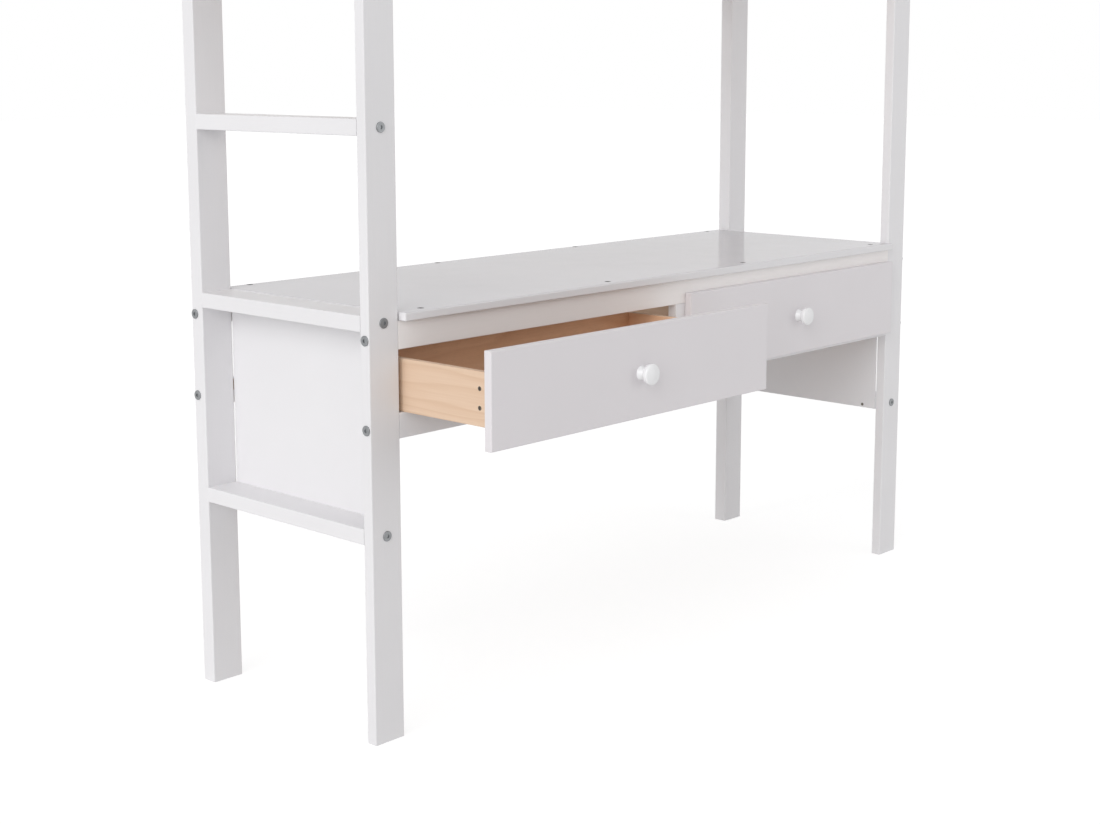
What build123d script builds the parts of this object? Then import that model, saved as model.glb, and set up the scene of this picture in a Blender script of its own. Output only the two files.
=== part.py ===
from build123d import *
from math import sqrt
import os

# Loft bed with a built-in desk and two drawers, in millimetres, +Z up.
# While it is modelled, x = 0 is the middle of the bed, y = 0 the front of the front posts
# and z = 0 the floor. The last step moves y = 0 to the middle of the whole outline.

# Footprint and posts
frame_length = 1667.0
frame_depth = 494.0
post_height = 1800.0
post_width = 66.0
front_post_thick = 22.0
back_post_thick = 32.0
post_rounding = 2.0

# Rungs of the ladder end, and the one cross rail of the other end
rung_height = 28.0
rung_low_bottom = 353.5
rung_desk_drop = 29.0
rung_upper_bottom = 1047.0
edge_rounding = 1.5

# Desk
desk_height = 750.0
desk_top_thick = 15.0
desk_end_gap = 3.0
desk_rounding = 2.5
desk_rail_thick = 20.0
upper_rail_height = 49.0
lower_rail_height = 45.0
drawer_opening_height = 109.0
stile_width = 38.0
panel_thick = 3.0
panel_side_gap = 1.0
runner_width = 30.0
runner_height = 20.0
guide_lip_thick = 12.0
guide_lip_height = 18.0
guide_clearance = 1.0

# Drawers
front_height = 167.0
front_thick = 15.0
front_overlap = 37.0
front_end_gap = 1.5
front_centre_gap = 20.0
front_rounding = 2.0
closed_gap = 0.5
left_drawer_open = 203.0
box_outer_inset = 7.5
box_inner_inset = 55.5
box_depth = 290.0
box_height = 92.0
box_side_thick = 12.0
box_lift = 0.5
bottom_thick = 4.0
bottom_lift = 10.0
groove_depth = 5.5
knob_above_bottom = 82.0
knob_base_radius = 13.4
knob_waist_radius = 8.6
knob_waist_at = 10.0
knob_head_radius = 19.2
knob_head_at = 24.0
knob_length = 30.0

# Sleeping deck
deck_rail_height = 110.0
deck_rail_thick = 20.0
support_height = 30.0
support_width = 22.0
support_lift = 10.0
slat_count = 8
slat_width = 110.0
slat_thick = 15.0
slat_end_gap = 0.5
guard_height = 90.0
guard_thick = 20.0
guard_top_gap = 10.0
guard_gap = 63.5

# Fasteners
bolt_radius = 3.0
bolt_hole_radius = 3.4
bolt_reach = 45.0
bolt_head_radius = 9.0
bolt_head_thick = 2.0
bolt_socket_radius = 3.6
bolt_socket_depth = 1.6
upper_bolt_drop = 3.0
guard_bolt_shift = 12.0
nut_radius = 5.0
nut_hole_radius = 5.1
nut_length = 14.0
nut_setback = 35.0
dowel_radius = 4.0
dowel_length = 30.0
desk_screw_length = 50.0
desk_screw_head = 6.0
desk_screw_inset = 127.0
desk_screw_middle = 617.0
small_screw_radius = 2.0
small_screw_length = 30.0
small_screw_head = 3.5
panel_screw_length = 20.0
panel_screw_inset = 57.0
panel_screw_lift = 7.0
cross_dowel_radius = 4.0
cross_dowel_length = 10.0
cross_dowel_back = 19.0
cross_dowel_heights = (31.0, 63.5)
pin_radius = 2.5
pin_in_front = 9.0
knob_screw_radius = 2.0
knob_screw_reach = 12.0
knob_screw_head = 4.0
knob_screw_head_thick = 2.5

# Places worked out from the sizes above
half_length = frame_length / 2
inner_x = half_length - post_width
post_centre_x = half_length - post_width / 2
rung_front = front_post_thick
rung_back = frame_depth - back_post_thick
desk_underside = desk_height - desk_top_thick
upper_rail_bottom = desk_underside - upper_rail_height
lower_rail_top = upper_rail_bottom - drawer_opening_height
lower_rail_bottom = lower_rail_top - lower_rail_height
rung_desk_bottom = desk_height - rung_desk_drop
front_bottom = lower_rail_top - front_overlap
knob_height = front_bottom + knob_above_bottom
back_rail_front = frame_depth - desk_rail_thick
desk_front = -closed_gap - front_thick
box_outer_x = inner_x - front_end_gap - box_outer_inset
box_inner_x = front_centre_gap / 2 + box_inner_inset
box_bottom = lower_rail_top + box_lift
upper_guard_bottom = post_height - guard_top_gap - guard_height
lower_guard_bottom = upper_guard_bottom - guard_gap - guard_height
deck_top = lower_guard_bottom - guard_gap
deck_bottom = deck_top - deck_rail_height
support_bottom = deck_bottom + support_lift
slat_bottom = support_bottom + support_height
outline_front = desk_front - left_drawer_open - knob_length
outline_back = frame_depth + bolt_head_thick
outline_middle_y = (outline_front + outline_back) / 2

STANDING = (Align.CENTER, Align.CENTER, Align.MIN)
RIGHT = Vector(1, 0, 0)
BACKWARD = Vector(0, 1, 0)
UPWARD = Vector(0, 0, 1)

pieces = {}
cuts = {}


def block(x, y, z):
    """Plain block between two limits on each axis."""
    limits = [sorted(pair) for pair in (x, y, z)]
    centre = [(low + high) / 2 for low, high in limits]
    size = [high - low for low, high in limits]
    return Pos(*centre) * Box(*size)


def board(x, y, z, rounding=edge_rounding):
    """Board between two limits on each axis, with its four long edges eased."""
    size = [abs(pair[1] - pair[0]) for pair in (x, y, z)]
    along = (Axis.X, Axis.Y, Axis.Z)[size.index(max(size))]
    solid = block(x, y, z)
    return fillet(solid.edges().filter_by(along), min(rounding, min(size) / 4))


def rod(start, direction, radius, length):
    """Round rod from a start point along a direction."""
    return Plane(origin=start, z_dir=direction) * Cylinder(radius, length, align=STANDING)


def drill(names, cutter):
    """Note a hole that is cut from the named pieces at the end."""
    for name in names:
        cuts.setdefault(name, []).append(cutter)


def add_bolt(post, rail, face, inward, post_thick, nut_way):
    """Connector bolt through a post into the end of a rail, with its barrel nut."""
    length = post_thick + bolt_reach
    shank = rod(face, inward, bolt_radius, length)
    head = rod(face - inward * bolt_head_thick, inward, bolt_head_radius, bolt_head_thick)
    head = fillet(head.edges().group_by(Axis(face, inward))[0], bolt_head_thick / 3)
    outside = face - inward * bolt_head_thick
    hexagon = Plane(origin=outside, z_dir=inward) * RegularPolygon(bolt_socket_radius, 6)
    socket = extrude(hexagon, bolt_socket_depth)
    nut_centre = face + inward * (post_thick + nut_setback)
    nut_start = nut_centre - nut_way * (nut_length / 2)
    nut = rod(nut_start, nut_way, nut_radius, nut_length) - shank
    bolts.append(head + shank - socket)
    nuts.append(nut)
    drill((post, rail), rod(face, inward, bolt_hole_radius, length + bolt_radius))
    drill((rail,), rod(nut_start, nut_way, nut_hole_radius, nut_length + deck_rail_height))


def add_screw(group, names, face, inward, length, head_radius):
    """Countersunk screw, flush with the face, in the pieces that it holds."""
    head_depth = head_radius - small_screw_radius
    shank = rod(face, inward, small_screw_radius, length)
    cone = Plane(origin=face, z_dir=inward) * Cone(
        head_radius, small_screw_radius, head_depth, align=STANDING)
    body = shank + cone
    hexagon = Plane(origin=face, z_dir=inward) * RegularPolygon(head_radius / 3, 6)
    group.append(body - extrude(hexagon, head_depth / 2))
    drill(names, body)


def add_dowel(names, middle, direction):
    """Wooden dowel half in each of two pieces that butt."""
    dowel = rod(middle - direction * (dowel_length / 2), direction, dowel_radius, dowel_length)
    dowels.append(dowel)
    drill(names, dowel)


def make_post(x_outer, y):
    """Post from the floor up, eased on its upright edges and its top."""
    inner = x_outer - post_width if x_outer > 0 else x_outer + post_width
    solid = block((x_outer, inner), y, (0, post_height))
    upright = solid.edges().filter_by(Axis.Z)
    top = solid.edges().group_by(Axis.Z)[-1]
    return fillet(upright + top, post_rounding)


bolts = []
nuts = []
dowels = []
desk_screws = []
panel_screws = []
deck_screws = []

sides = {"left": -1, "right": 1}

# Posts
for side, sign in sides.items():
    pieces[f"front_{side}_post"] = make_post(sign * half_length, (0, front_post_thick))
    pieces[f"back_{side}_post"] = make_post(
        sign * half_length, (frame_depth - back_post_thick, frame_depth))


def add_cross_piece(name, side, x, z, bolt_heights, nut_way):
    """Piece that runs from the front post to the back post of one end."""
    sign = sides[side]
    pieces[name] = board(x, (rung_front, rung_back), z)
    for height in bolt_heights:
        front = Vector(sign * post_centre_x, 0, height)
        back = Vector(sign * post_centre_x, frame_depth, height)
        add_bolt(f"front_{side}_post", name, front, BACKWARD, front_post_thick, nut_way)
        add_bolt(f"back_{side}_post", name, back, -BACKWARD, back_post_thick, nut_way)


def add_long_piece(name, y, z, bolt_heights, nut_way):
    """Piece that runs from the left post to the right post, front or back."""
    pieces[name] = board((-inner_x, inner_x), y, z)
    row = name.split("_")[0]
    for side, sign in sides.items():
        for height in bolt_heights:
            face = Vector(sign * half_length, sum(y) / 2, height)
            add_bolt(f"{row}_{side}_post", name, face, -RIGHT * sign, post_width, nut_way)


# Rungs and the right-hand cross rail: flat boards as deep as the posts are wide
rungs = {
    "ladder_rung_low": ("left", rung_low_bottom),
    "ladder_rung_desk": ("left", rung_desk_bottom),
    "ladder_rung_upper": ("left", rung_upper_bottom),
    "right_cross_rail": ("right", rung_low_bottom),
}
for name, (side, bottom) in rungs.items():
    x = (sides[side] * inner_x, sides[side] * half_length)
    middle = bottom + rung_height / 2
    add_cross_piece(name, side, x, (bottom, bottom + rung_height), (middle,), -UPWARD)

# Desk rails between the posts, front and back
front_rail_y = (0, desk_rail_thick)
back_rail_y = (back_rail_front, frame_depth)
upper_z = (upper_rail_bottom, desk_underside)
lower_z = (lower_rail_bottom, lower_rail_top)
upper_bolt = (sum(upper_z) / 2 - upper_bolt_drop,)
lower_bolt = (sum(lower_z) / 2,)
add_long_piece("front_upper_rail", front_rail_y, upper_z, upper_bolt, BACKWARD)
add_long_piece("front_lower_rail", front_rail_y, lower_z, lower_bolt, BACKWARD)
add_long_piece("back_upper_rail", back_rail_y, upper_z, upper_bolt, -BACKWARD)
add_long_piece("back_lower_rail", back_rail_y, lower_z, lower_bolt, -BACKWARD)

# Stile between the two front rails, on dowels
pieces["centre_stile"] = board(
    (-stile_width / 2, stile_width / 2), front_rail_y, (lower_rail_top, upper_rail_bottom))
stile_y = desk_rail_thick / 2
add_dowel(("front_lower_rail", "centre_stile"), Vector(0, stile_y, lower_rail_top), UPWARD)
add_dowel(("front_upper_rail", "centre_stile"), Vector(0, stile_y, upper_rail_bottom), UPWARD)

# Desk top between the posts, screwed down into the rails
desk_half = inner_x - desk_end_gap
desk_slab = block((-desk_half, desk_half), (desk_front, frame_depth), (desk_underside, desk_height))
pieces["desk_top"] = fillet(desk_slab.edges(), desk_rounding)
for rail, rail_y in (("front_upper_rail", front_rail_y), ("back_upper_rail", back_rail_y)):
    for from_end in (desk_screw_inset, desk_screw_middle):
        for sign in sides.values():
            face = Vector(sign * (half_length - from_end), sum(rail_y) / 2, desk_height)
            add_screw(desk_screws, ("desk_top", rail), face, -UPWARD,
                      desk_screw_length, desk_screw_head)

# Thin side panels inside the rungs, and the runners that carry the drawers
panel_y = (rung_front + panel_side_gap, rung_back - panel_side_gap)
runner_y = (desk_rail_thick, back_rail_front)
runner_z = (lower_rail_top - runner_height, lower_rail_top)
for side, sign in sides.items():
    panel = f"{side}_side_panel"
    panel_inner_x = inner_x - panel_thick
    pieces[panel] = block((sign * inner_x, sign * panel_inner_x), panel_y,
                          (rung_low_bottom, desk_underside))
    low_rung = "ladder_rung_low" if side == "left" else "right_cross_rail"
    screw_ys = (panel_screw_inset, frame_depth - panel_screw_inset)
    for screw_y in screw_ys:
        face = Vector(sign * panel_inner_x, screw_y, rung_low_bottom + panel_screw_lift)
        add_screw(panel_screws, (panel, low_rung), face, RIGHT * sign,
                  panel_screw_length, small_screw_head)

    outer_runner = f"{side}_outer_runner"
    pieces[outer_runner] = board(
        (sign * (panel_inner_x - runner_width), sign * panel_inner_x), runner_y, runner_z)
    outer_x = sign * (panel_inner_x - runner_width / 2)

    inner_runner = f"{side}_inner_runner"
    lip_x = box_inner_x - guide_clearance
    runner_end_x = lip_x - guide_lip_thick + runner_width
    base = block((sign * (lip_x - guide_lip_thick), sign * runner_end_x), runner_y, runner_z)
    lip = block((sign * (lip_x - guide_lip_thick), sign * lip_x), runner_y,
                (lower_rail_top, lower_rail_top + guide_lip_height))
    pieces[inner_runner] = base + lip
    inner_runner_x = sign * (lip_x - guide_lip_thick + runner_width / 2)

    for runner, runner_x in ((outer_runner, outer_x), (inner_runner, inner_runner_x)):
        dowel_z = sum(runner_z) / 2
        add_dowel((runner, "front_lower_rail"), Vector(runner_x, runner_y[0], dowel_z), BACKWARD)
        add_dowel((runner, "back_lower_rail"), Vector(runner_x, runner_y[1], dowel_z), BACKWARD)

# The left panel's upper edge is screwed to the rung at desk height
for screw_y in screw_ys:
    face = Vector(panel_thick - inner_x, screw_y, rung_desk_bottom + panel_screw_lift)
    add_screw(panel_screws, ("left_side_panel", "ladder_rung_desk"), face, -RIGHT,
              panel_screw_length, small_screw_head)


def make_knob(x, y_face):
    """Turned knob: foot, waist and domed mushroom head, with the hole for its screw."""
    mouth = (knob_screw_radius, 0)
    foot = (knob_base_radius, 0)
    waist = (knob_waist_radius, knob_waist_at)
    rim = (knob_head_radius, knob_head_at)
    dome_height = knob_length - knob_head_at
    dome = (knob_head_radius * sqrt(0.5), knob_head_at + dome_height * sqrt(0.5))
    tip = (0, knob_length)
    profile = Line(mouth, foot)
    profile += Spline(foot, waist, rim, tangents=[(-0.25, 1), (0, 1)])
    profile += Spline(rim, dome, tip, tangents=[(0, 1), (-1, 0)])
    profile += Polyline(tip, (0, knob_screw_reach), (knob_screw_radius, knob_screw_reach), mouth)
    turned = revolve(make_face(profile), Axis.Y)
    return Pos(x, y_face, knob_height) * Rot(180, 0, 0) * turned


def add_drawer(side, opening):
    """One drawer: overlay front, box of two sides, back and bottom, knob and fixings."""
    sign = sides[side]
    prefix = f"{side}_drawer"
    front_back_y = -closed_gap - opening
    front_face_y = front_back_y - front_thick
    box_back_y = front_back_y + box_depth
    box_top = box_bottom + box_height
    panel_low = box_bottom + bottom_lift
    panel_high = panel_low + bottom_thick
    x_near = sign * front_centre_gap / 2
    x_far = sign * (inner_x - front_end_gap)
    inner_side = (sign * box_inner_x, sign * (box_inner_x + box_side_thick))
    outer_side = (sign * box_outer_x, sign * (box_outer_x - box_side_thick))

    front = block((x_near, x_far), (front_face_y, front_back_y),
                  (front_bottom, front_bottom + front_height))
    face_edges = front.edges().group_by(Axis.Y)[0]
    pieces[f"{prefix}_front"] = fillet(face_edges, front_rounding)

    box_y = (front_back_y, box_back_y)
    pieces[f"{prefix}_inner_side"] = board(inner_side, box_y, (box_bottom, box_top), 1.0)
    pieces[f"{prefix}_outer_side"] = board(outer_side, box_y, (box_bottom, box_top), 1.0)
    pieces[f"{prefix}_back"] = board(
        (inner_side[1], outer_side[1]), (box_back_y - box_side_thick, box_back_y),
        (panel_high, box_top), 1.0)
    bottom = block(
        (inner_side[1] - sign * groove_depth, outer_side[1] + sign * groove_depth),
        (front_back_y - groove_depth, box_back_y), (panel_low, panel_high))
    pieces[f"{prefix}_bottom"] = bottom
    drill((f"{prefix}_front", f"{prefix}_inner_side", f"{prefix}_outer_side"), bottom)

    knob_x = (x_near + x_far) / 2
    pieces[f"{prefix}_knob"] = make_knob(knob_x, front_face_y)

    fixings = []
    for place, side_x, outward in (("inner", inner_side, -RIGHT * sign),
                                   ("outer", outer_side, RIGHT * sign)):
        side_node = f"{prefix}_{place}_side"
        for height in cross_dowel_heights:
            z = box_bottom + height
            y = front_back_y + cross_dowel_back
            pin_start = Vector(sum(side_x) / 2, front_back_y - pin_in_front, z)
            pin_length = pin_in_front + cross_dowel_back + cross_dowel_radius / 2
            pin = rod(pin_start, BACKWARD, pin_radius, pin_length)
            start = Vector(side_x[0], y, z)
            dowel = rod(start, -outward, cross_dowel_radius, cross_dowel_length)
            slot = block((side_x[0] - 1, side_x[0] + 1), (y - 0.7, y + 0.7),
                         (z - cross_dowel_radius / 1.5, z + cross_dowel_radius / 1.5))
            drill((side_node,), dowel)
            drill((side_node, f"{prefix}_front"), pin)
            fixings.append(pin)
            fixings.append(dowel - pin - slot)
            screw_y = box_back_y - box_side_thick / 2
            add_screw(fixings, (side_node, f"{prefix}_back"), Vector(side_x[0], screw_y, z),
                      -outward, small_screw_length, small_screw_head)
    knob_screw = rod(Vector(knob_x, front_back_y, knob_height), -BACKWARD, knob_screw_radius,
                     front_thick + knob_screw_reach)
    knob_screw_cap = rod(Vector(knob_x, front_back_y, knob_height), BACKWARD, knob_screw_head,
                         knob_screw_head_thick)
    fixings.append(knob_screw + knob_screw_cap)
    drill((f"{prefix}_front",), knob_screw)
    pieces[f"{prefix}_fixings"] = Compound(fixings)


add_drawer("left", left_drawer_open)
add_drawer("right", 0)

# Sleeping deck: rails on all four sides, supports and slats
deck_z = (deck_bottom, deck_top)
long_bolts = [deck_bottom + deck_rail_height * share for share in (0.25, 0.75)]
cross_bolts = [deck_bottom + deck_rail_height * share for share in (0.4, 0.6)]
front_deck_y = (0, deck_rail_thick)
back_deck_y = (frame_depth - deck_rail_thick, frame_depth)
add_long_piece("front_deck_rail", front_deck_y, deck_z, long_bolts, BACKWARD)
add_long_piece("back_deck_rail", back_deck_y, deck_z, long_bolts, -BACKWARD)
for side, sign in sides.items():
    x = [sign * (post_centre_x + shift) for shift in (-deck_rail_thick / 2, deck_rail_thick / 2)]
    add_cross_piece(f"{side}_deck_rail", side, x, deck_z, cross_bolts, -RIGHT * sign)

slat_y = (deck_rail_thick + slat_end_gap, frame_depth - deck_rail_thick - slat_end_gap)
slat_gap = (2 * inner_x - slat_count * slat_width) / (slat_count + 1)
slat_pitch = slat_width + slat_gap
support_ys = {
    "front": (deck_rail_thick, deck_rail_thick + support_width),
    "back": (frame_depth - deck_rail_thick, frame_depth - deck_rail_thick - support_width),
}
for row, support_y in support_ys.items():
    support = f"{row}_slat_support"
    support_z = (support_bottom, slat_bottom)
    pieces[support] = board((-inner_x, inner_x), support_y, support_z)
    into_rail = -BACKWARD if row == "front" else BACKWARD
    for step in (-3, -1, 1, 3):
        face = Vector(step * slat_pitch, support_y[1], support_bottom + panel_screw_lift)
        add_screw(deck_screws, (support, f"{row}_deck_rail"), face, into_rail,
                  small_screw_length, small_screw_head)

for number in range(1, slat_count + 1):
    centre_x = -inner_x + slat_gap * number + slat_width * (number - 0.5)
    slat = f"slat_{number}"
    pieces[slat] = board((centre_x - slat_width / 2, centre_x + slat_width / 2), slat_y,
                         (slat_bottom, slat_bottom + slat_thick), 3.0)
    for row, support_y in support_ys.items():
        face = Vector(centre_x, sum(support_y) / 2, slat_bottom + slat_thick)
        add_screw(deck_screws, (slat, f"{row}_slat_support"), face, -UPWARD,
                  small_screw_length, small_screw_head)

# Guard rails: two boards on each long side and on the end away from the ladder
front_guard_y = (0, guard_thick)
back_guard_y = (frame_depth - guard_thick, frame_depth)
right_guard_x = (post_centre_x - guard_thick / 2, post_centre_x + guard_thick / 2)
for level, guard_bottom in (("lower", lower_guard_bottom), ("upper", upper_guard_bottom)):
    guard_z = (guard_bottom, guard_bottom + guard_height)
    guard_middle = sum(guard_z) / 2
    high_bolt = (guard_middle + guard_bolt_shift,)
    low_bolt = (guard_middle - guard_bolt_shift,)
    add_long_piece(f"front_{level}_guard", front_guard_y, guard_z, high_bolt, BACKWARD)
    add_long_piece(f"back_{level}_guard", back_guard_y, guard_z, high_bolt, -BACKWARD)
    add_cross_piece(f"right_{level}_guard", "right", right_guard_x, guard_z, low_bolt, -RIGHT)

pieces["frame_bolts"] = Compound(bolts)
pieces["barrel_nuts"] = Compound(nuts)
pieces["joint_dowels"] = Compound(dowels)
pieces["desk_screws"] = Compound(desk_screws)
pieces["panel_screws"] = Compound(panel_screws)
pieces["deck_screws"] = Compound(deck_screws)

os.makedirs("parts", exist_ok=True)
for name, shape in pieces.items():
    if name in cuts:
        shape = shape - cuts[name]
    export_step(Pos(0, -outline_middle_y, 0) * shape, f"parts/{name}.step")
print(len(pieces), "pieces; middle of the outline at y", outline_middle_y)
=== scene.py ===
"""Looks of the loft bed: finishes for every piece of the frame, the stage and the camera."""

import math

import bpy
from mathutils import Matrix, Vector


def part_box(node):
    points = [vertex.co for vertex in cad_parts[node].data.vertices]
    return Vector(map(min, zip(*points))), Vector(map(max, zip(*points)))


bl_info = {
    "name": "Loft bed",
    "version": (1, 0, 0),
    "blender": (4, 5, 0),
    "location": "View3D > Sidebar > Loft bed",
    "description": "Dresses the loft bed with its desk, drawers and ladder, and sets its stage",
    "category": "Object",
}

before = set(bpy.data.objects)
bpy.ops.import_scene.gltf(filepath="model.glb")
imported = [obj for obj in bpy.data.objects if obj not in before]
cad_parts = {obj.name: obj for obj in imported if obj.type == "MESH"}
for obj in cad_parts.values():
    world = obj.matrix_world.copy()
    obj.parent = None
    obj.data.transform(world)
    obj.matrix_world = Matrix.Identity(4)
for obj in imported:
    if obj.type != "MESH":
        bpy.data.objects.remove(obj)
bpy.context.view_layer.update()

AXES = "xyz"

# Groups of like pieces, by the names that the frame gives them
POSTS = ["front_left_post", "front_right_post", "back_left_post", "back_right_post"]
RUNGS = ["ladder_rung_low", "ladder_rung_desk", "ladder_rung_upper", "right_cross_rail"]
DESK_RAILS = ["front_lower_rail", "back_upper_rail", "back_lower_rail", "centre_stile"]
DECK_RAILS = ["front_deck_rail", "back_deck_rail", "left_deck_rail", "right_deck_rail"]
GUARDS = [f"{place}_{level}_guard" for place in ("front", "back", "right")
          for level in ("lower", "upper")]
PANELS = ["left_side_panel", "right_side_panel"]
DRAWERS = ["left_drawer", "right_drawer"]
RUNNERS = [f"{side}_{place}_runner" for side in ("left", "right")
           for place in ("outer", "inner")]
SUPPORTS = ["front_slat_support", "back_slat_support"]
SLATS = sorted(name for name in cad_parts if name.startswith("slat_"))

# Finishes by name, made when the first piece is dressed
FINISHES = {}

# Colours of the parts that are seen least: light and dark tone, or one tone
HARDBOARD = ((0.42, 0.24, 0.135), (0.28, 0.15, 0.08))
BEECH = ((0.66, 0.43, 0.25), (0.52, 0.31, 0.16))
# Zinc of the bolts: partly the plating's own grey, partly darkened as painted shade of the dark
# sockets.
ZINC_AND_SOCKET_SHADE = (0.31, 0.32, 0.33)
SCREW_STEEL = (0.10, 0.097, 0.095)
DARK_STEEL = (0.16, 0.14, 0.12)

# Noise patterns: the range that noise values mostly keep to, the range in which fibres and
# pores show, and waves per metre
NOISE_LOW = 0.3
NOISE_HIGH = 0.7
FIBRE_LOW = 0.35
FIBRE_HIGH = 0.75
PORE_LOW = 0.62
PORE_HIGH = 0.74
CLOUD_WAVES = 2.6
SMEAR_WAVES = 14.0
SKIN_WAVES = 900.0
WANDER_WAVES = 5.0
WAVER_WAVES = 40.0
FIBRE_WAVES = 420.0
PORE_WAVES = 1400.0
WOOD_CLOUD_WAVES = 6.0
FLECK_WAVES = 700.0
BOARD_CLOUD_WAVES = 9.0
GRIME_WAVES = 160.0
MARK_WAVES = 2600.0

# Grain: factor on lengths along the board, which draws each pattern out that way
WANDER_STRETCH = 0.12
WAVER_STRETCH = 0.05
FIBRE_STRETCH = 0.02
PORE_STRETCH = 0.06

# Growth rings: slope across the board, wander and spacing in metres, sharpness of their edge
RING_SLOPE = 0.45
RING_WANDER = 0.16
RING_WAVER = 0.004
RING_EDGE = 2.2
LACQUERED_RING_SPACING = 0.016
BEECH_RING_SPACING = 0.004

# Share of the darker tone on rings, fibres and pores
RING_SHARE = 0.6
SHADED_INSIDE_RING_SHARE = 0.5
FIBRE_SHARE = 0.35
PORE_SHARE = 0.25

# Depths of the surface patterns in metres
SKIN_DEPTH = 0.000012
DESK_SKIN_DEPTH = 0.000003
KNOB_SKIN_DEPTH = 0.000004
LACQUERED_FIBRE_DEPTH = 0.00003
LACQUERED_RING_DEPTH = 0.00002
FIBRE_DEPTH = 0.00008
RING_DEPTH = 0.00004
PORE_DEPTH = 0.00006
FLECK_DEPTH = 0.00003
MARK_DEPTH = 0.00001

# Gloss
LACQUER_IOR = 1.48
DESK_IOR = 1.14
KNOB_ROUGHNESS = 0.22
WOOD_ROUGHNESS = 0.62
RING_POLISH = 0.10
ZINC_ROUGHNESS = 0.26
SCREW_ROUGHNESS = 0.60
DARK_STEEL_ROUGHNESS = 0.42
DULLING = 0.18

# Shift of the patterns from piece to piece, in metres for a chance value of 1
PIECE_SHIFT = (7.3, 4.1, 5.7)

# Lamps: the direction towards each, and its width as an angle in degrees
LEFT_LAMP_DIRECTION = (-0.90, -0.22, 0.38)
LEFT_LAMP_WIDTH = 50
FRONT_LAMP_DIRECTION = (0.45, -0.85, 0.25)
FRONT_LAMP_WIDTH = 40

# Floor: its grey as a source of bounced light, its grey as seen, and the glow added when seen
FLOOR_BOUNCE = (0.86, 0.86, 0.86)
FLOOR_SEEN = (0.36, 0.36, 0.36)
FLOOR_GLOW = 0.78


# Sizes and colours that a user would change

class LoftBedFinish(bpy.types.PropertyGroup):
    """Colours and gloss of the bed's finishes."""
    lacquer_colour: bpy.props.FloatVectorProperty(
        name="Lacquer", description="White lacquer of the posts, rungs and rails",
        subtype="COLOR", size=3, min=0, max=1, default=(0.815, 0.805, 0.82))
    # Desk top: partly its own pale grey and partly painted shade that darkens its upper face.
    desk_top_grey_and_shade: bpy.props.FloatVectorProperty(
        name="Desk top", description="Pale grey gloss of the desk's upper face",
        subtype="COLOR", size=3, min=0, max=1, default=(0.67, 0.66, 0.69))
    # Drawer rail: a lighter, warmer white than the frame, painted light that stands in for light
    # bounced from the drawer's inside.
    rail_colour_with_painted_light: bpy.props.FloatVectorProperty(
        name="Drawer rail", description="Warmer white lacquer of the rail above the drawers",
        subtype="COLOR", size=3, min=0, max=1, default=(0.93, 0.90, 0.89))
    drawer_colour: bpy.props.FloatVectorProperty(
        name="Drawer fronts", description="White lacquer of the drawer fronts",
        subtype="COLOR", size=3, min=0, max=1, default=(0.775, 0.745, 0.765))
    knob_colour: bpy.props.FloatVectorProperty(
        name="Knobs", description="White lacquer of the turned knobs",
        subtype="COLOR", size=3, min=0, max=1, default=(0.88, 0.88, 0.89))
    pine_light: bpy.props.FloatVectorProperty(
        name="Pine, early wood", description="Pale wood between the growth rings",
        subtype="COLOR", size=3, min=0, max=1, default=(0.77, 0.57, 0.42))
    pine_dark: bpy.props.FloatVectorProperty(
        name="Pine, late wood", description="Darker wood of the growth rings",
        subtype="COLOR", size=3, min=0, max=1, default=(0.66, 0.44, 0.29))
    # Inside the drawers: the same pine painted darker and warmer, as painted shade and bounced
    # light.
    lining_light: bpy.props.FloatVectorProperty(
        name="Lining, light", description="Lighter streaks inside the drawers",
        subtype="COLOR", size=3, min=0, max=1, default=(0.88, 0.57, 0.37))
    lining_dark: bpy.props.FloatVectorProperty(
        name="Lining, dark", description="Darker streaks inside the drawers",
        subtype="COLOR", size=3, min=0, max=1, default=(0.74, 0.43, 0.25))
    lacquer_roughness: bpy.props.FloatProperty(
        name="Lacquer roughness", description="Roughness of the satin lacquer",
        subtype="FACTOR", min=0, max=1, default=0.42)
    desk_roughness: bpy.props.FloatProperty(
        name="Desk roughness", description="Roughness of the glossy desk top",
        subtype="FACTOR", min=0, max=1, default=0.14)
    ring_spacing: bpy.props.FloatProperty(
        name="Ring spacing", description="Distance between growth rings across a board",
        subtype="DISTANCE", unit="LENGTH", min=0.001, default=0.011)


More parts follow.
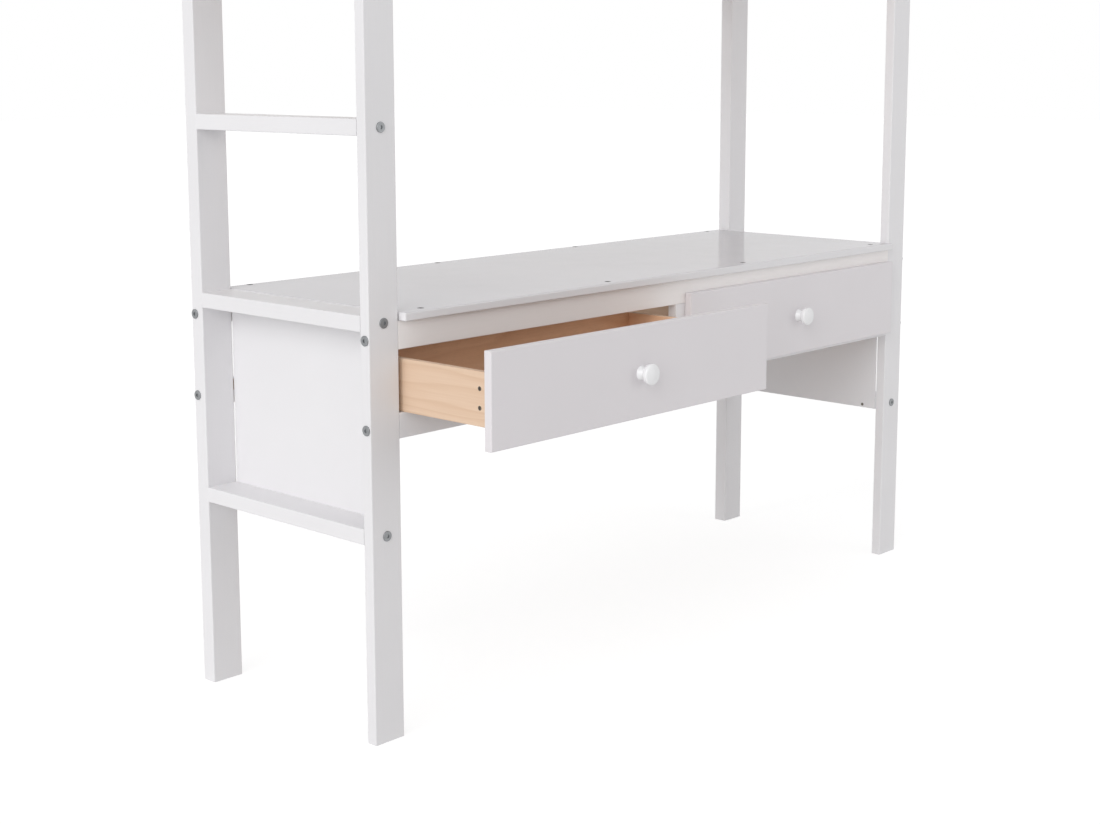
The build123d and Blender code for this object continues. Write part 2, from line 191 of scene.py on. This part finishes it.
class LoftBedStage(bpy.types.PropertyGroup):
    """Light, floor and camera."""
    sky_strength: bpy.props.FloatProperty(
        name="Sky light", description="Even light from all round", min=0, default=0.55)
    left_lamp: bpy.props.FloatProperty(
        name="Left lamp", description="Soft lamp on the ladder end", min=0, default=1.52)
    front_lamp: bpy.props.FloatProperty(
        name="Front lamp", description="Soft lamp from the front right", min=0, default=0.33)
    floor_size: bpy.props.FloatProperty(
        name="Floor", description="Side of the square floor",
        subtype="DISTANCE", unit="LENGTH", min=1, default=60)
    lens: bpy.props.FloatProperty(
        name="Lens", description="Focal length in millimetres on a 36 mm wide frame",
        min=1, default=56.83)
    camera_place: bpy.props.FloatVectorProperty(
        name="Camera", description="Where the camera stands",
        subtype="XYZ", unit="LENGTH", size=3, default=(-2.7193, -2.2828, 1.1652))
    camera_yaw: bpy.props.FloatProperty(
        name="Yaw", description="Direction of view, from +X towards +Y",
        subtype="ANGLE", unit="ROTATION", default=math.radians(42.835))
    camera_pitch: bpy.props.FloatProperty(
        name="Pitch", description="Direction of view above the horizon",
        subtype="ANGLE", unit="ROTATION", default=math.radians(-8.91))
    camera_roll: bpy.props.FloatProperty(
        name="Roll", description="Turn of the camera about its line of sight",
        subtype="ANGLE", unit="ROTATION", default=math.radians(-0.10))
    camera_shift: bpy.props.FloatProperty(
        name="Shift", description="Upright shift of the lens, in frame widths",
        default=-0.070)


# Small helpers for shader nodes

def add_node(tree, kind, **settings):
    """New shader node with its properties set."""
    node = tree.nodes.new(kind)
    for key, value in settings.items():
        setattr(node, key, value)
    return node


def plug(tree, source, target):
    """Joins two sockets, or sets the target's own value when the source is a plain value."""
    if isinstance(source, bpy.types.NodeSocket):
        tree.links.new(source, target)
    else:
        target.default_value = source


def reckon(tree, operation, first, second=0.0):
    """Output of a math node."""
    node = add_node(tree, "ShaderNodeMath", operation=operation)
    plug(tree, first, node.inputs[0])
    plug(tree, second, node.inputs[1])
    return node.outputs[0]


def blend_colour(tree, amount, first, second):
    """Colour between two colours."""
    node = add_node(tree, "ShaderNodeMix", data_type="RGBA")
    plug(tree, amount, node.inputs["Factor"])
    for name, colour in (("A", first), ("B", second)):
        socket = next(s for s in node.inputs if s.name == name and s.type == "RGBA")
        plug(tree, colour if isinstance(colour, bpy.types.NodeSocket) else (*colour, 1), socket)
    return next(s for s in node.outputs if s.type == "RGBA")


def remap(tree, value, low, high, to_low, to_high):
    """Value moved from one range to another, and held inside it."""
    node = add_node(tree, "ShaderNodeMapRange")
    for index, item in enumerate((value, low, high, to_low, to_high)):
        plug(tree, item, node.inputs[index])
    return node.outputs[0]


def spread(tree, value, to_low, to_high):
    """Noise value spread over a range."""
    return remap(tree, value, NOISE_LOW, NOISE_HIGH, to_low, to_high)


def noise(tree, vector, waves, detail=2.0, roughness=0.5):
    """Noise texture value at a place."""
    node = add_node(tree, "ShaderNodeTexNoise")
    plug(tree, vector, node.inputs["Vector"])
    node.inputs["Scale"].default_value = waves
    node.inputs["Detail"].default_value = detail
    node.inputs["Roughness"].default_value = roughness
    return node.outputs["Fac"]


def stretched(tree, vector, along, factor):
    """Vector with one axis shortened, so that patterns run along it."""
    scale = [1.0, 1.0, 1.0]
    scale[AXES.index(along)] = factor
    node = add_node(tree, "ShaderNodeVectorMath", operation="MULTIPLY")
    plug(tree, vector, node.inputs[0])
    node.inputs[1].default_value = scale
    return node.outputs[0]


def place_on_piece(tree):
    """Place on the piece in metres, moved by a chance amount that differs from piece to piece."""
    where = add_node(tree, "ShaderNodeTexCoord").outputs["Object"]
    chance = add_node(tree, "ShaderNodeObjectInfo").outputs["Random"]
    offset = add_node(tree, "ShaderNodeVectorMath", operation="SCALE")
    offset.inputs[0].default_value = PIECE_SHIFT
    plug(tree, chance, offset.inputs["Scale"])
    moved = add_node(tree, "ShaderNodeVectorMath", operation="ADD")
    plug(tree, where, moved.inputs[0])
    plug(tree, offset.outputs[0], moved.inputs[1])
    return moved.outputs[0]


def facing(tree, direction):
    """1 where the piece's own surface looks along a direction, and 0 elsewhere."""
    match = add_node(tree, "ShaderNodeVectorMath", operation="DOT_PRODUCT")
    plug(tree, add_node(tree, "ShaderNodeTexCoord").outputs["Normal"], match.inputs[0])
    match.inputs[1].default_value = direction
    return remap(tree, match.outputs["Value"], 0.6, 0.9, 0.0, 1.0)


def relief(tree, *layers):
    """Normal of a surface with height patterns, each given with its depth in metres."""
    height = None
    for pattern, depth in layers:
        layer = reckon(tree, "MULTIPLY", pattern, depth)
        height = layer if height is None else reckon(tree, "ADD", height, layer)
    node = add_node(tree, "ShaderNodeBump")
    node.inputs["Strength"].default_value = 1.0
    node.inputs["Distance"].default_value = 1.0
    plug(tree, height, node.inputs["Height"])
    return node.outputs[0]


# Node groups that several finishes share

def new_group(name, inputs, outputs):
    """Empty shader node group with its sockets."""
    group = bpy.data.node_groups.new(name, "ShaderNodeTree")
    for label, kind, value in inputs:
        socket = group.interface.new_socket(name=label, in_out="INPUT", socket_type=kind)
        if value is not None:
            socket.default_value = value
    for label in outputs:
        group.interface.new_socket(name=label, in_out="OUTPUT", socket_type="NodeSocketFloat")
    return group, add_node(group, "NodeGroupInput"), add_node(group, "NodeGroupOutput")


def make_lacquer_group():
    """Sprayed lacquer: faint clouds of tone, the spray's fine skin and a varying gloss."""
    group, start, end = new_group(
        "Sprayed lacquer",
        [("Place", "NodeSocketVector", None), ("Gloss change", "NodeSocketFloat", 0.05)],
        ["Tone", "Roughness change", "Skin"])
    place = start.outputs["Place"]
    cloud = noise(group, place, CLOUD_WAVES, 3.0, 0.55)
    smear = noise(group, place, SMEAR_WAVES, 4.0, 0.6)
    skin = noise(group, place, SKIN_WAVES)
    change = spread(group, smear, -1.0, 1.0)
    plug(group, spread(group, cloud, 0.975, 1.015), end.inputs["Tone"])
    plug(group, reckon(group, "MULTIPLY", change, start.outputs["Gloss change"]),
         end.inputs["Roughness change"])
    plug(group, skin, end.inputs["Skin"])
    return group


def make_grain_group(along):
    """Growth rings, fibres and pores of a board that runs along one axis."""
    group, start, end = new_group(
        f"Board grain along {along}",
        [("Place", "NodeSocketVector", None), ("Ring spacing", "NodeSocketFloat", 0.011)],
        ["Rings", "Fibres", "Pores"])
    place = start.outputs["Place"]
    flow = stretched(group, place, along, WANDER_STRETCH)
    wander = noise(group, flow, WANDER_WAVES, 3.0, 0.55)
    waver = noise(group, stretched(group, place, along, WAVER_STRETCH), WAVER_WAVES)
    apart = add_node(group, "ShaderNodeSeparateXYZ")
    plug(group, flow, apart.inputs[0])
    across = [apart.outputs[i] for i in range(3) if AXES[i] != along]
    depth = reckon(group, "ADD", across[0], reckon(group, "MULTIPLY", across[1], RING_SLOPE))
    depth = reckon(group, "ADD", depth, reckon(group, "MULTIPLY", wander, RING_WANDER))
    depth = reckon(group, "ADD", depth, reckon(group, "MULTIPLY", waver, RING_WAVER))
    turns = reckon(group, "DIVIDE", depth, start.outputs["Ring spacing"])
    part_of_ring = reckon(group, "FRACT", turns)
    rise = remap(group, part_of_ring, 0.05, 0.85, 0.0, 1.0)
    fall = remap(group, part_of_ring, 0.88, 1.0, 1.0, 0.0)
    rings = reckon(group, "MULTIPLY", reckon(group, "POWER", rise, RING_EDGE), fall)
    fibres = noise(group, stretched(group, place, along, FIBRE_STRETCH), FIBRE_WAVES, 3.0, 0.6)
    pores = noise(group, stretched(group, place, along, PORE_STRETCH), PORE_WAVES, 1.0)
    plug(group, rings, end.inputs["Rings"])
    plug(group, fibres, end.inputs["Fibres"])
    plug(group, remap(group, pores, PORE_LOW, PORE_HIGH, 0.0, 1.0), end.inputs["Pores"])
    return group


# Finishes

def new_finish(name):
    """Material with a Principled shader, its tree and the shader's sockets."""
    material = bpy.data.materials.new(name)
    material.use_nodes = True
    tree = material.node_tree
    tree.nodes.clear()
    surface = add_node(tree, "ShaderNodeBsdfPrincipled")
    output = add_node(tree, "ShaderNodeOutputMaterial")
    tree.links.new(surface.outputs[0], output.inputs["Surface"])
    return material, tree, surface.inputs


def use_group(tree, group, **values):
    """Group node in a material, with its inputs joined or set."""
    node = add_node(tree, "ShaderNodeGroup", node_tree=group)
    for label, value in values.items():
        plug(tree, value, node.inputs[label.replace("_", " ")])
    return node.outputs


def make_lacquer(name, colour, roughness, groups, along=None, skin_depth=SKIN_DEPTH,
                 gloss_change=0.05, ior=LACQUER_IOR, upper_colour_and_shade=None):
    """White lacquer on wood or board. With an axis, a trace of the grain below shows."""
    material, tree, surface = new_finish(name)
    place = place_on_piece(tree)
    coat = use_group(tree, groups["lacquer"], Place=place, Gloss_change=gloss_change)
    tone = coat["Tone"]
    layers = [(coat["Skin"], skin_depth)]
    if along:
        grain = use_group(tree, groups[along], Place=place, Ring_spacing=LACQUERED_RING_SPACING)
        tone = reckon(tree, "MULTIPLY", tone, spread(tree, grain["Fibres"], 1.006, 0.992))
        layers.append((grain["Fibres"], LACQUERED_FIBRE_DEPTH))
        layers.append((grain["Rings"], -LACQUERED_RING_DEPTH))
    # Faces that look up take the upper colour: partly the top's own grey, partly painted shade.
    if upper_colour_and_shade:
        colour = blend_colour(tree, facing(tree, (0, 0, 1)), colour, upper_colour_and_shade)
    bright = add_node(tree, "ShaderNodeVectorMath", operation="SCALE")
    plug(tree, colour, bright.inputs[0])
    plug(tree, tone, bright.inputs["Scale"])
    plug(tree, bright.outputs[0], surface["Base Color"])
    plug(tree, reckon(tree, "ADD", coat["Roughness change"], roughness), surface["Roughness"])
    plug(tree, relief(tree, *layers), surface["Normal"])
    surface["IOR"].default_value = ior
    return material


def make_bare_wood(name, light, dark, groups, along, spacing):
    """Bare planed wood with rings, fibres and pores along one axis."""
    material, tree, surface = new_finish(name)
    place = place_on_piece(tree)
    grain = use_group(tree, groups[along], Place=place, Ring_spacing=spacing)
    cloud = noise(tree, place, WOOD_CLOUD_WAVES)
    streak = reckon(tree, "MULTIPLY", grain["Rings"], RING_SHARE)
    colour = blend_colour(tree, streak, light, dark)
    fibre = remap(tree, grain["Fibres"], FIBRE_LOW, FIBRE_HIGH, 0.0, FIBRE_SHARE)
    colour = blend_colour(tree, fibre, colour, dark)
    colour = blend_colour(tree, spread(tree, cloud, 0.0, 0.18), colour,
                          [0.8 * value for value in dark])
    colour = blend_colour(tree, reckon(tree, "MULTIPLY", grain["Pores"], PORE_SHARE), colour,
                          [0.5 * value for value in dark])
    plug(tree, colour, surface["Base Color"])
    plug(tree, wood_gloss(tree, grain["Rings"]), surface["Roughness"])
    plug(tree, relief(tree, (grain["Fibres"], FIBRE_DEPTH), (grain["Rings"], RING_DEPTH),
                      (grain["Pores"], -PORE_DEPTH)), surface["Normal"])
    return material


def make_wood_with_inside_shade(name, finish, groups, inward):
    """Pine outside, and on the face that looks along one way the same pine painted darker and
    warmer: painted shade and bounced light.
    """
    material, tree, surface = new_finish(name)
    grain = use_group(tree, groups["y"], Place=place_on_piece(tree),
                      Ring_spacing=finish.ring_spacing)
    streak = reckon(tree, "MULTIPLY", grain["Rings"], SHADED_INSIDE_RING_SHARE)
    fibre = remap(tree, grain["Fibres"], FIBRE_LOW, FIBRE_HIGH, 0.0, FIBRE_SHARE)
    pine = blend_colour(tree, streak, finish.pine_light, finish.pine_dark)
    pine = blend_colour(tree, fibre, pine, finish.pine_dark)
    # Painted shade: the inside face takes darker, warmer tones of the same pine.
    lining = blend_colour(tree, streak, finish.lining_light, finish.lining_dark)
    lining = blend_colour(tree, fibre, lining, finish.lining_dark)
    plug(tree, blend_colour(tree, facing(tree, inward), pine, lining), surface["Base Color"])
    plug(tree, wood_gloss(tree, grain["Rings"]), surface["Roughness"])
    plug(tree, relief(tree, (grain["Fibres"], FIBRE_DEPTH), (grain["Rings"], RING_DEPTH)),
         surface["Normal"])
    return material


def wood_gloss(tree, rings):
    """Roughness of bare wood, smoother on the hard rings."""
    return remap(tree, rings, 0.0, 1.0, WOOD_ROUGHNESS, WOOD_ROUGHNESS - RING_POLISH)


def make_hardboard(name, light, dark):
    """Brown pressed fibreboard: flecks and a slight sheen."""
    material, tree, surface = new_finish(name)
    place = place_on_piece(tree)
    fleck = noise(tree, place, FLECK_WAVES, 3.0, 0.7)
    cloud = noise(tree, place, BOARD_CLOUD_WAVES, 3.0, 0.6)
    colour = blend_colour(tree, remap(tree, fleck, 0.35, 0.7, 0.0, 0.8), light, dark)
    colour = blend_colour(tree, spread(tree, cloud, 0.0, 0.3), colour, dark)
    plug(tree, colour, surface["Base Color"])
    plug(tree, spread(tree, fleck, 0.45, 0.60), surface["Roughness"])
    plug(tree, relief(tree, (fleck, FLECK_DEPTH)), surface["Normal"])
    return material


def make_steel(name, colour, roughness, metallic=1.0, specular=0.5):
    """Steel with fine turning marks and a little dulling, plated or blackened."""
    material, tree, surface = new_finish(name)
    place = place_on_piece(tree)
    grime = noise(tree, place, GRIME_WAVES, 3.0, 0.6)
    marks = noise(tree, place, MARK_WAVES)
    tone = blend_colour(tree, remap(tree, grime, 0.35, 0.75, 0.0, 0.4), colour,
                        [0.55 * value for value in colour])
    plug(tree, tone, surface["Base Color"])
    surface["Metallic"].default_value = metallic
    surface["Specular IOR Level"].default_value = specular
    plug(tree, spread(tree, grime, roughness, roughness + DULLING), surface["Roughness"])
    plug(tree, relief(tree, (marks, MARK_DEPTH)), surface["Normal"])
    return material


def make_lacquers(finish, groups):
    """Lacquered finishes by name."""
    white = tuple(finish.lacquer_colour)
    rough = finish.lacquer_roughness
    made = {f"lacquer_{axis}": make_lacquer(f"lacquer along {axis}", white, rough, groups, axis)
            for axis in AXES}
    # The desk's upper face is partly its own grey and partly painted shade.
    made["desk"] = make_lacquer("desk lacquer", white, finish.desk_roughness, groups,
                                skin_depth=DESK_SKIN_DEPTH, gloss_change=0.015, ior=DESK_IOR,
                                upper_colour_and_shade=tuple(finish.desk_top_grey_and_shade))
    made["panel"] = make_lacquer("panel lacquer", white, rough + 0.08, groups)
    # The rail above the drawers is painted lighter and warmer, as bounced light.
    made["drawer_rail_with_painted_light"] = make_lacquer("drawer rail lacquer with painted light", tuple(finish.rail_colour_with_painted_light), rough,
                                       groups, "x")
    made["front"] = make_lacquer("drawer lacquer", tuple(finish.drawer_colour), rough, groups)
    made["knob"] = make_lacquer("knob lacquer", tuple(finish.knob_colour), KNOB_ROUGHNESS, groups,
                                skin_depth=KNOB_SKIN_DEPTH, gloss_change=0.03)
    return made


def make_woods(finish, groups):
    """Bare wood and board finishes by name."""
    pine = (tuple(finish.pine_light), tuple(finish.pine_dark))
    lining = (tuple(finish.lining_light), tuple(finish.lining_dark))
    made = {f"pine_{axis}": make_bare_wood(f"pine along {axis}", *pine, groups, axis,
                                           finish.ring_spacing) for axis in AXES}
    # The drawer backs take the tones of painted shade all over.
    made["lining"] = make_bare_wood("lining", *lining, groups, "x", finish.ring_spacing)
    made["shaded_inside_plus"] = make_wood_with_inside_shade("side with painted shade on its right", finish, groups, (1, 0, 0))
    made["shaded_inside_minus"] = make_wood_with_inside_shade("side with painted shade on its left", finish, groups, (-1, 0, 0))
    made["hardboard"] = make_hardboard("hardboard", *HARDBOARD)
    made["beech"] = make_bare_wood("beech", *BEECH, groups, "z", BEECH_RING_SPACING)
    return made


def make_finishes():
    """Makes every finish, and returns them by name."""
    finish = bpy.context.scene.loft_bed_finish
    groups = {axis: make_grain_group(axis) for axis in AXES}
    groups["lacquer"] = make_lacquer_group()
    made = {**make_lacquers(finish, groups), **make_woods(finish, groups)}
    # The bolts' zinc is darker than plating alone, as painted shade of their sockets.
    made["zinc"] = make_steel("zinc steel", ZINC_AND_SOCKET_SHADE, ZINC_ROUGHNESS)
    made["screw"] = make_steel("screw steel", SCREW_STEEL, SCREW_ROUGHNESS, metallic=0.0,
                               specular=0.05)
    made["dark_steel"] = make_steel("dark steel", DARK_STEEL, DARK_STEEL_ROUGHNESS)
    return made


# Pieces

def long_axis(name):
    """Axis that a piece is longest along."""
    low, high = (Vector(corner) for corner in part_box(name))
    size = high - low
    return AXES[max(range(3), key=lambda index: size[index])]


def dress(names, finish, by_axis=False):
    """Gives pieces their finish, with the grain along each piece where there is one."""
    if not FINISHES:
        FINISHES.update(make_finishes())
    for name in names:
        key = f"{finish}_{long_axis(name)}" if by_axis else finish
        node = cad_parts[name]
        node.data.materials.clear()
        node.data.materials.append(FINISHES[key])


class SharedOptions:
    """What every operator shares."""
    bl_options = {"REGISTER", "UNDO"}


class LOFTBED_OT_posts(SharedOptions, bpy.types.Operator):
    """Finish the four posts"""
    bl_idname = "loftbed.posts"
    bl_label = "Posts"

    def execute(self, context):
        dress(POSTS, "lacquer", by_axis=True)
        return {"FINISHED"}


class LOFTBED_OT_rungs(SharedOptions, bpy.types.Operator):
    """Finish the ladder rungs and the right cross rail"""
    bl_idname = "loftbed.rungs"
    bl_label = "Rungs and cross rail"

    def execute(self, context):
        dress(RUNGS, "lacquer", by_axis=True)
        return {"FINISHED"}


class LOFTBED_OT_desk_top(SharedOptions, bpy.types.Operator):
    """Finish the glossy desk top"""
    bl_idname = "loftbed.desk_top"
    bl_label = "Desk top"

    def execute(self, context):
        dress(["desk_top"], "desk")
        return {"FINISHED"}


class LOFTBED_OT_desk_rails(SharedOptions, bpy.types.Operator):
    """Finish the desk's rails and the stile between the drawers"""
    bl_idname = "loftbed.desk_rails"
    bl_label = "Desk rails and stile"

    def execute(self, context):
        dress(DESK_RAILS, "lacquer", by_axis=True)
        # The rail above the drawers takes a lighter lacquer, which is painted light.
        dress(["front_upper_rail"], "drawer_rail_with_painted_light")
        return {"FINISHED"}


class LOFTBED_OT_side_panels(SharedOptions, bpy.types.Operator):
    """Finish the thin panels at both ends"""
    bl_idname = "loftbed.side_panels"
    bl_label = "Side panels"

    def execute(self, context):
        dress(PANELS, "panel")
        return {"FINISHED"}


class LOFTBED_OT_drawer_fronts(SharedOptions, bpy.types.Operator):
    """Finish the drawer fronts"""
    bl_idname = "loftbed.drawer_fronts"
    bl_label = "Drawer fronts"

    def execute(self, context):
        dress([f"{drawer}_front" for drawer in DRAWERS], "front")
        return {"FINISHED"}


class LOFTBED_OT_drawer_boxes(SharedOptions, bpy.types.Operator):
    """Finish the drawers' sides, backs and bottoms, with painted shade inside"""
    bl_idname = "loftbed.drawer_boxes"
    bl_label = "Drawer boxes"

    def execute(self, context):
        for drawer in DRAWERS:
            middle = sum(corner[0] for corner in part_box(f"{drawer}_back")) / 2
            for place in ("inner", "outer"):
                side = f"{drawer}_{place}_side"
                looks_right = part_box(side)[0][0] < middle
                dress([side], "shaded_inside_plus" if looks_right else "shaded_inside_minus")
            dress([f"{drawer}_back"], "lining")
            dress([f"{drawer}_bottom"], "hardboard")
        return {"FINISHED"}


class LOFTBED_OT_knobs(SharedOptions, bpy.types.Operator):
    """Finish the turned knobs"""
    bl_idname = "loftbed.knobs"
    bl_label = "Knobs"

    def execute(self, context):
        dress([f"{drawer}_knob" for drawer in DRAWERS], "knob")
        return {"FINISHED"}


class LOFTBED_OT_runners(SharedOptions, bpy.types.Operator):
    """Finish the drawer runners"""
    bl_idname = "loftbed.runners"
    bl_label = "Drawer runners"

    def execute(self, context):
        dress(RUNNERS, "pine", by_axis=True)
        return {"FINISHED"}


class LOFTBED_OT_deck(SharedOptions, bpy.types.Operator):
    """Finish the deck rails, guard rails, slat supports and slats"""
    bl_idname = "loftbed.deck"
    bl_label = "Deck and guard rails"

    def execute(self, context):
        dress(DECK_RAILS + GUARDS, "lacquer", by_axis=True)
        dress(SUPPORTS + SLATS, "pine", by_axis=True)
        return {"FINISHED"}


class LOFTBED_OT_fasteners(SharedOptions, bpy.types.Operator):
    """Finish the bolts, nuts, screws, dowels and drawer fixings"""
    bl_idname = "loftbed.fasteners"
    bl_label = "Fasteners"

    def execute(self, context):
        dress(["frame_bolts", "barrel_nuts"], "zinc")
        dress(["desk_screws", "deck_screws"], "screw")
        dress(["panel_screws"] + [f"{drawer}_fixings" for drawer in DRAWERS], "dark_steel")
        dress(["joint_dowels"], "beech")
        return {"FINISHED"}


# Stage

def make_floor(stage):
    """Wide pale floor that shows as white, with the bed's faint shadow."""
    half = stage.floor_size / 2
    mesh = bpy.data.meshes.new("floor")
    corners = [(-half, -half, 0), (half, -half, 0), (half, half, 0), (-half, half, 0)]
    mesh.from_pydata(corners, [], [(0, 1, 2, 3)])
    floor = bpy.data.objects.new("floor", mesh)
    bpy.context.scene.collection.objects.link(floor)
    material = bpy.data.materials.new("floor_paper")
    material.use_nodes = True
    tree = material.node_tree
    tree.nodes.clear()
    seen = seen_directly(tree)
    paper = add_node(tree, "ShaderNodeBsdfDiffuse")
    plug(tree, blend_colour(tree, seen, FLOOR_BOUNCE, FLOOR_SEEN), paper.inputs["Color"])
    glow = add_node(tree, "ShaderNodeEmission")
    glow.inputs["Color"].default_value = (1, 1, 1, 1)
    plug(tree, reckon(tree, "MULTIPLY", seen, FLOOR_GLOW), glow.inputs["Strength"])
    both = add_node(tree, "ShaderNodeAddShader")
    tree.links.new(paper.outputs[0], both.inputs[0])
    tree.links.new(glow.outputs[0], both.inputs[1])
    output = add_node(tree, "ShaderNodeOutputMaterial")
    tree.links.new(both.outputs[0], output.inputs["Surface"])
    mesh.materials.append(material)


def seen_directly(tree):
    """1 for rays from the camera, a reflection or a clear body, and 0 for light itself."""
    path = add_node(tree, "ShaderNodeLightPath")
    seen = reckon(tree, "MAXIMUM", path.outputs["Is Camera Ray"], path.outputs["Is Glossy Ray"])
    return reckon(tree, "MAXIMUM", seen, path.outputs["Is Transmission Ray"])


def make_sky(stage):
    """Even light from all round, behind a white background."""
    world = bpy.data.worlds.new("studio")
    bpy.context.scene.world = world
    world.use_nodes = True
    tree = world.node_tree
    tree.nodes.clear()
    seen = seen_directly(tree)
    sky = add_node(tree, "ShaderNodeBackground")
    sky.inputs["Color"].default_value = (1, 1, 1, 1)
    plug(tree, remap(tree, seen, 0.0, 1.0, stage.sky_strength, 1.0), sky.inputs["Strength"])
    output = add_node(tree, "ShaderNodeOutputWorld")
    tree.links.new(sky.outputs[0], output.inputs["Surface"])


def make_lamp(name, direction, strength, width):
    """Soft lamp far away in one direction."""
    data = bpy.data.lights.new(name, "SUN")
    data.energy = strength
    data.angle = math.radians(width)
    lamp = bpy.data.objects.new(name, data)
    lamp.rotation_mode = "QUATERNION"
    lamp.rotation_quaternion = Vector(direction).to_track_quat("Z", "Y")
    bpy.context.scene.collection.objects.link(lamp)


def make_camera(stage):
    """Camera near the photograph's place, with its direction of view."""
    data = bpy.data.cameras.new("camera")
    data.sensor_fit = "HORIZONTAL"
    data.sensor_width = 36.0
    data.lens = stage.lens
    data.shift_y = stage.camera_shift
    camera = bpy.data.objects.new("camera", data)
    yaw, pitch = stage.camera_yaw, stage.camera_pitch
    forward = Vector((math.cos(yaw) * math.cos(pitch), math.sin(yaw) * math.cos(pitch),
                      math.sin(pitch)))
    right = Vector((math.sin(yaw), -math.cos(yaw), 0))
    upright = right.cross(forward)
    turned_right = right * math.cos(stage.camera_roll) + upright * math.sin(stage.camera_roll)
    turned_up = turned_right.cross(forward)
    axes = Matrix((turned_right, turned_up, -forward)).transposed()
    camera.matrix_world = Matrix.Translation(Vector(stage.camera_place)) @ axes.to_4x4()
    bpy.context.scene.collection.objects.link(camera)
    bpy.context.scene.camera = camera


class LOFTBED_OT_stage(SharedOptions, bpy.types.Operator):
    """Set the floor, the light and the camera"""
    bl_idname = "loftbed.stage"
    bl_label = "Stage"

    def execute(self, context):
        stage = context.scene.loft_bed_stage
        context.scene.view_settings.view_transform = "Standard"
        make_floor(stage)
        make_sky(stage)
        make_lamp("left_lamp", LEFT_LAMP_DIRECTION, stage.left_lamp, LEFT_LAMP_WIDTH)
        make_lamp("front_lamp", FRONT_LAMP_DIRECTION, stage.front_lamp, FRONT_LAMP_WIDTH)
        make_camera(stage)
        return {"FINISHED"}


class LOFTBED_PT_panel(bpy.types.Panel):
    """Lists the bed's pieces and its settings"""
    bl_idname = "LOFTBED_PT_panel"
    bl_label = "Loft bed"
    bl_space_type = "VIEW_3D"
    bl_region_type = "UI"
    bl_category = "Loft bed"

    def draw(self, context):
        column = self.layout.column(align=True)
        for operator in OPERATORS:
            column.operator(operator.bl_idname)
        for settings in (context.scene.loft_bed_finish, context.scene.loft_bed_stage):
            column = self.layout.column(align=True)
            for name in settings.__annotations__:
                column.prop(settings, name)


OPERATORS = (
    LOFTBED_OT_stage,
    LOFTBED_OT_posts,
    LOFTBED_OT_rungs,
    LOFTBED_OT_desk_top,
    LOFTBED_OT_desk_rails,
    LOFTBED_OT_side_panels,
    LOFTBED_OT_drawer_fronts,
    LOFTBED_OT_drawer_boxes,
    LOFTBED_OT_knobs,
    LOFTBED_OT_runners,
    LOFTBED_OT_deck,
    LOFTBED_OT_fasteners,
)
CLASSES = (LoftBedFinish, LoftBedStage, *OPERATORS, LOFTBED_PT_panel)


def register():
    for each in CLASSES:
        bpy.utils.register_class(each)
    bpy.types.Scene.loft_bed_finish = bpy.props.PointerProperty(type=LoftBedFinish)
    bpy.types.Scene.loft_bed_stage = bpy.props.PointerProperty(type=LoftBedStage)


def unregister():
    del bpy.types.Scene.loft_bed_stage
    del bpy.types.Scene.loft_bed_finish
    for each in reversed(CLASSES):
        bpy.utils.unregister_class(each)


def main():
    register()
    for operator in OPERATORS:
        group, name = operator.bl_idname.split(".")
        getattr(getattr(bpy.ops, group), name)()


if __name__ == "__main__":
    main()
